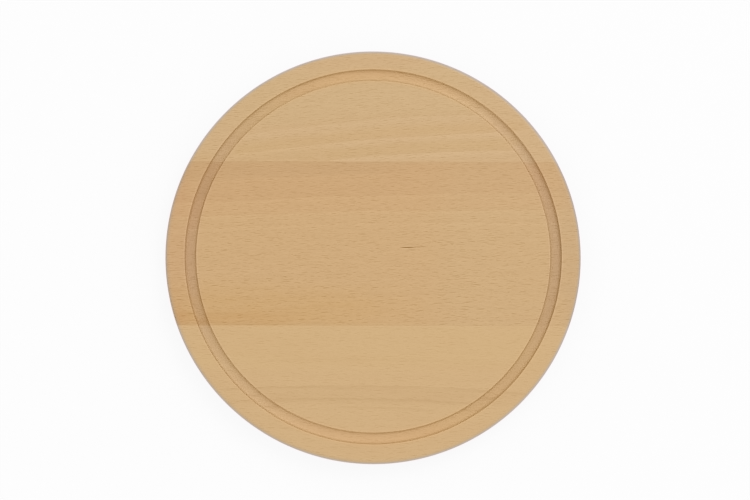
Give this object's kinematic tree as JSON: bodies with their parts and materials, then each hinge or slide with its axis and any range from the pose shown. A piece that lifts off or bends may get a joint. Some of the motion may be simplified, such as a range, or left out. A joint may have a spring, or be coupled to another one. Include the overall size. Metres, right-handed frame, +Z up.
{
  "type": "round cutting board",
  "caption": "Round beech cutting board of edge-glued staves, with a juice groove cut round its flat top inside the rounded rim.",
  "frame": {"origin": "centre of the flat underside, on the surface that the board lies on", "axes": "+Z up through the thickness to the cutting surface, +X along the grain and the glue joints, +Y across the grain to the narrowest stave"},
  "size_m": [0.3, 0.3, 0.018],
  "materials": {
    "pale_beech": "satin",
    "rosy_beech": "satin",
    "dried_glue": "satin"
  },
  "bodies": {
    "root": {"back_stave": "pale_beech", "middle_stave": "rosy_beech", "front_stave": "pale_beech", "back_glue_line": "dried_glue", "front_glue_line": "dried_glue"}
  },
  "joints": []
}
